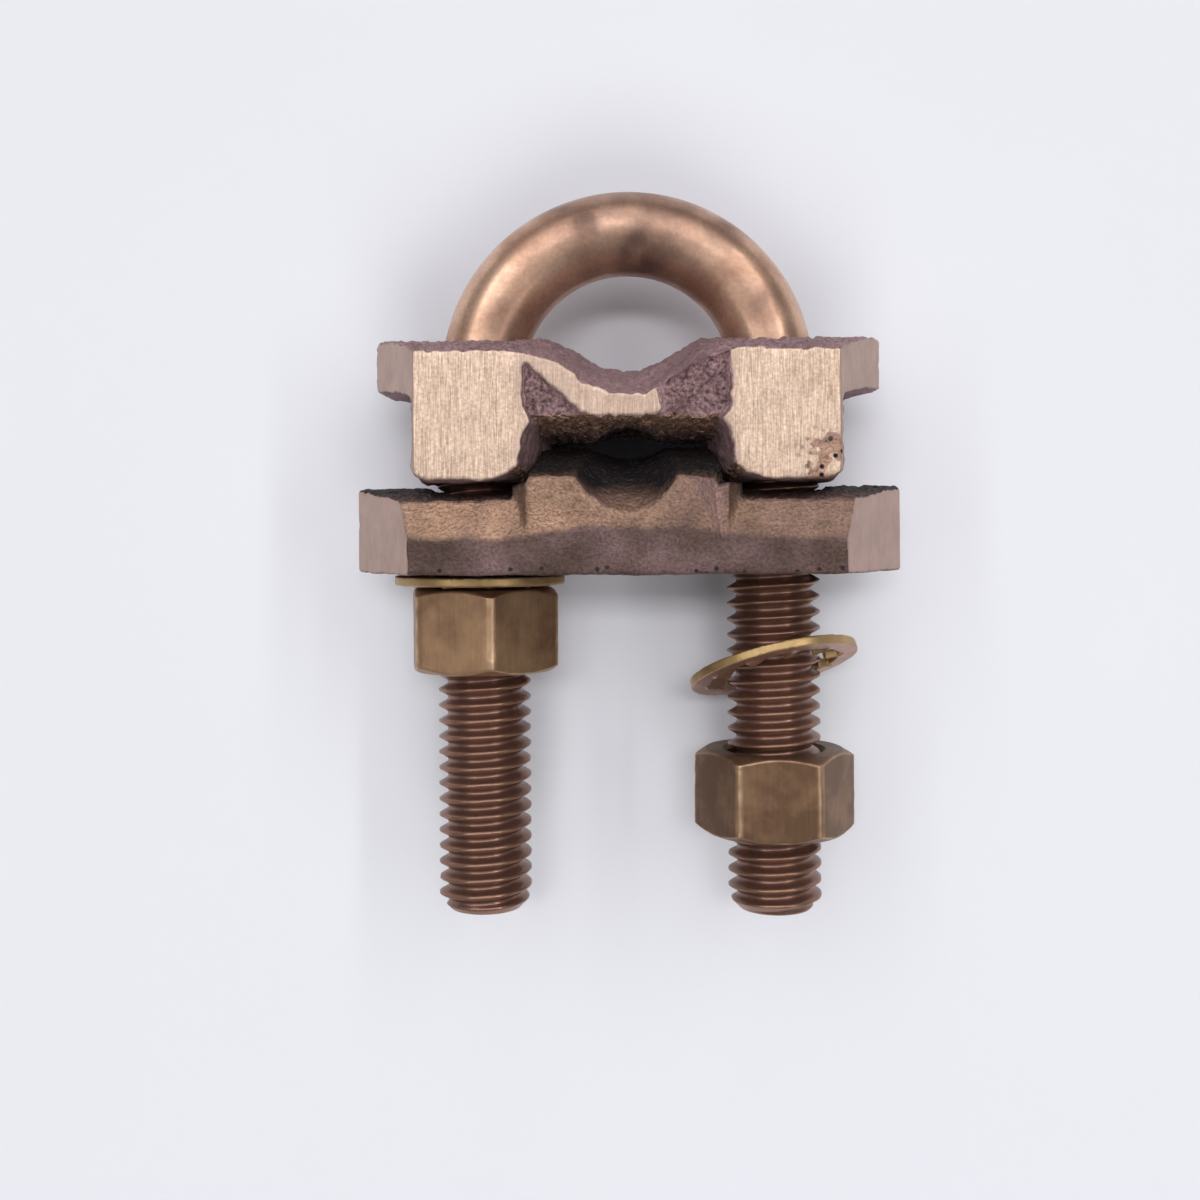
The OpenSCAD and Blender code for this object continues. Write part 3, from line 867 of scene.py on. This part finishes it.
def hex_nut(sizes, axis, low_y, high_y, flats, turn):
    """Points, quads and wear of a nut: one loop of rings, up its flats, over its top, down its bore."""
    angle = round_angles(NUT_COLUMNS)
    # A high power of the six flats' distances gives a hexagon with rounded corners
    power = 9.0 / (sizes.nut_edge / MM)
    toward = np.cos(angle[:, None] - turn - np.radians(60.0 * np.arange(6))[None, :])
    hexagon = (flats / 2) / (np.maximum(toward, 0.0) ** power).sum(axis=1) ** (1.0 / power)
    bore_r = sizes.nut_bore_d / MM / 2
    mouth_r = bore_r + COUNTERSINK
    tall = high_y - low_y
    steps = np.concatenate([np.linspace(0.0, 1.7, 18), np.linspace(1.9, tall - 1.9, 12),
                            np.linspace(tall - 1.7, tall, 18)])
    # Each ring is its radii, its height and its wear
    rings = []
    for step in steps:
        cone = CHAMFER_SHARE * flats + min(step, tall - step) / math.tan(math.radians(30))
        gap = hexagon - cone
        blend = np.clip(0.5 + 0.5 * gap / CHAMFER_BLEND, 0.0, 1.0)
        r = hexagon * (1 - blend) + cone * blend - CHAMFER_BLEND * blend * (1 - blend)
        near_edge = np.exp(-(gap / 0.16) ** 2)
        near_corner = smooth_step(flats / 2 * 1.11, flats / 2 * 1.145, r)
        rings.append((r, step, np.clip(0.55 * near_edge + near_corner, 0.0, 1.0)))
    low_rim, high_rim = rings[0][0], rings[-1][0]
    unworn = np.zeros(NUT_COLUMNS)
    bore = [(np.full(NUT_COLUMNS, bore_r + max(COUNTERSINK - drop, 0.0)), drop) for drop in BORE_RINGS]
    rings += [(high_rim + (mouth_r - high_rim) * share, tall, unworn) for share in END_RINGS]
    rings += [(r, tall - drop, unworn) for r, drop in bore]
    rings += [(r, drop, unworn) for r, drop in reversed(bore)]
    rings += [(low_rim + (mouth_r - low_rim) * share, 0.0, unworn) for share in reversed(END_RINGS)]
    rings.append(rings[0])
    radii, heights, worn = (np.array(values) for values in zip(*rings))
    y = low_y + heights[:, None] + np.zeros_like(radii)
    points = ringed(axis[0], axis[2], radii, y, angle)
    return points.reshape(-1, 3), wrapped_faces(len(rings), NUT_COLUMNS), worn.ravel()


class TurnNuts(bpy.types.Operator):
    """Cuts both nuts from hexagon bar and wears their edges"""

    bl_idname = "connector.nuts"
    bl_label = "Nuts"

    def execute(self, context):
        sizes = context.scene.connector_sizes
        material = drawn_bronze_bar(context.scene.connector_colours)
        # Painted shade: the right nut is made browner and darker all over than the left
        for node, axis, seed, brown in (("left_nut", LEFT_AXIS, 1.0, 0.0),
                                        ("right_nut", RIGHT_AXIS, 2.0, 0.55)):
            low, high = box_mm(node)
            points, faces, worn = hex_nut(sizes, axis, low[1], high[1], *nut_form(node, axis))
            dents = waviness(points, 1.4, seed=seed, octaves=2)
            worn = np.clip(worn * (0.75 + 0.7 * dents), 0.0, 1.0)
            normals = outward(points, faces)
            points = points + normals * (0.03 * waviness(points, 2.5, seed=seed + 3.0)
                                         - 0.06 * worn * smooth_step(0.0, 0.5, dents))[:, None]
            finished_piece(node + "_drawn", node, points, faces, material, worn=worn,
                           brown=np.full(len(points), brown))
        return {"FINISHED"}


def aim(thing, target, up=(0.0, 1.0, 0.0)):
    """Turns a camera or a lamp so that it looks at a point, with one direction upwards in its view."""
    back = (thing.location - Vector(target)).normalized()
    right = Vector(up).cross(back).normalized()
    thing.rotation_euler = Matrix((right, back.cross(right), back)).transposed().to_euler()


def soft_room():
    """The room round the table, as a world.

    It is brightest high up on the bend's side, dim near the horizon, and shaded straight above, where
    the photographer leans over the table.
    """
    world = bpy.data.worlds.new("soft_room")
    world.use_nodes = True
    tree = world.node_tree
    facing = add_node(tree, "ShaderNodeTexCoord").outputs["Generated"]
    height = add_node(tree, "ShaderNodeVectorMath", {0: facing, 1: GLOW_TOWARDS},
                      operation="DOT_PRODUCT").outputs["Value"]
    glow = ranged(tree, height, *GLOW_SPAN, *GLOW_STRENGTHS, interpolation_type="SMOOTHSTEP")
    above = add_node(tree, "ShaderNodeSeparateXYZ", {0: facing}).outputs["Z"]
    shade = ranged(tree, above, *SHADE_SPAN, 1.0, SHADE_SHARE, interpolation_type="SMOOTHSTEP")
    level = combined(tree, "MULTIPLY", glow, shade)
    # Matt surfaces take less of the glow, as the panel lights them, and to the camera the room
    # behind the table is a plain pale wall
    path = add_node(tree, "ShaderNodeLightPath").outputs
    spread = ranged(tree, path["Is Diffuse Ray"], 0.0, 1.0, 1.0, MATT_SHARE)
    wall = combined(tree, "MULTIPLY", path["Is Camera Ray"], WALL_STRENGTH)
    shown = combined(tree, "MAXIMUM", combined(tree, "MULTIPLY", level, spread), wall)
    feed(tree, tree.nodes["Background"], {"Color": ROOM_LIGHT, "Strength": shown})
    return world


class SetStage(bpy.types.Operator):
    """Lays the table, hangs soft lamps and sets the photograph's camera"""

    bl_idname = "connector.stage"
    bl_label = "Stage"

    def execute(self, context):
        scene = context.scene
        table = bpy.data.meshes.new("table")
        corners = [(x * TABLE_HALF, y * TABLE_HALF, 0.0)
                   for x, y in ((-1, -1), (1, -1), (1, 1), (-1, 1))]
        table.from_pydata(corners, [], [(0, 1, 2, 3)])
        table.materials.append(painted_table(scene.connector_colours))
        floor = bpy.data.objects.new("table", table)
        scene.collection.objects.link(floor)

        scene.world = soft_room()
        for name, at, power, size in LAMPS:
            lamp = bpy.data.lights.new(name, "AREA")
            lamp.shape = "RECTANGLE"
            lamp.size, lamp.size_y = size
            lamp.energy = power
            held = bpy.data.objects.new(name, lamp)
            held.location = at
            held.visible_glossy = name.endswith("_tube")
            aim(held, LAMP_AIM)
            scene.collection.objects.link(held)

        lens = bpy.data.cameras.new("camera")
        lens.lens = CAMERA_LENS
        lens.shift_y = CAMERA_SHIFT_Y
        lens.sensor_width = CAMERA_SENSOR
        lens.clip_start = MM
        camera = bpy.data.objects.new("camera", lens)
        camera.location = CAMERA_AT
        aim(camera, CAMERA_AIM, CAMERA_UP)
        scene.collection.objects.link(camera)
        scene.camera = camera
        scene.view_settings.view_transform = "Standard"
        return {"FINISHED"}


class ConnectorPanel(bpy.types.Panel):
    """Lists the connector's pieces, sizes and colours"""

    bl_idname = "VIEW3D_PT_connector"
    bl_label = "Grounding connector"
    bl_space_type = "VIEW_3D"
    bl_region_type = "UI"
    bl_category = "Connector"

    def draw(self, context):
        for operator in OPERATORS:
            self.layout.operator(operator.bl_idname)
        for group in (context.scene.connector_sizes, context.scene.connector_colours):
            column = self.layout.column(align=True)
            for name in group.__annotations__:
                column.prop(group, name)


OPERATORS = (SetStage, MakeUBolt, CastSaddle, CastClampPlate, StampLockWashers, TurnNuts)
CLASSES = (ConnectorSizes, ConnectorColours, *OPERATORS, ConnectorPanel)


def register():
    """Registers the classes and puts the sizes and colours on the scene."""
    for cls in CLASSES:
        bpy.utils.register_class(cls)
    bpy.types.Scene.connector_sizes = bpy.props.PointerProperty(type=ConnectorSizes)
    bpy.types.Scene.connector_colours = bpy.props.PointerProperty(type=ConnectorColours)


def unregister():
    """Takes the sizes, the colours and the classes away again."""
    del bpy.types.Scene.connector_colours
    del bpy.types.Scene.connector_sizes
    for cls in reversed(CLASSES):
        bpy.utils.unregister_class(cls)


def main():
    """Makes every piece in order."""
    register()
    bpy.ops.connector.stage()
    bpy.ops.connector.u_bolt()
    bpy.ops.connector.saddle()
    bpy.ops.connector.clamp_plate()
    bpy.ops.connector.lock_washers()
    bpy.ops.connector.nuts()


if __name__ == "__main__":
    main()
